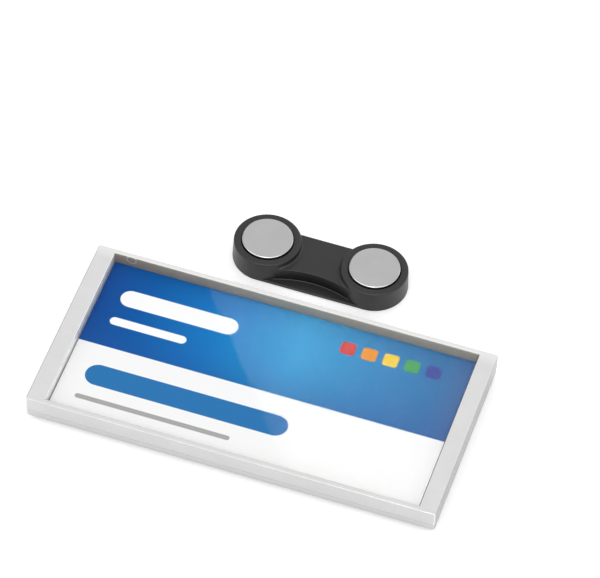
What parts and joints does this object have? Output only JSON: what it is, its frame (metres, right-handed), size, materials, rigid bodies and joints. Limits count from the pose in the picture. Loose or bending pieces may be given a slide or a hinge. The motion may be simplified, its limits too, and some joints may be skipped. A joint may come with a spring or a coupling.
{
  "type": "name badge",
  "caption": "Rectangular name badge with a bright framed window over a printed card, a steel plate set in its back, and a loose bar with magnet discs that holds it on through cloth.",
  "frame": {"origin": "Centre of the steel plate's bottom face, the face the badge lies on and the magnets pull against.", "axes": "+X along the badge's long side, to the reader's right. +Y towards its top edge. +Z out of the badge's front."},
  "size_m": [0.068, 0.0509, 0.005],
  "materials": {
    "bright_plating": "bright silver plating on moulded plastic",
    "satin_steel": "fine satin",
    "printed_card": null,
    "clear_cover": "clear glossy acrylic",
    "black_plastic": "fine moulded satin",
    "magnet_nickel": "satin nickel plating"
  },
  "bodies": {
    "root": {"front_frame": "bright_plating", "back_shell": "bright_plating", "steel_plate": "satin_steel", "name_card": "printed_card", "clear_cover": "clear_cover", "magnet_bar": "black_plastic", "magnet_disc_left": "magnet_nickel", "magnet_disc_right": "magnet_nickel"}
  },
  "joints": []
}
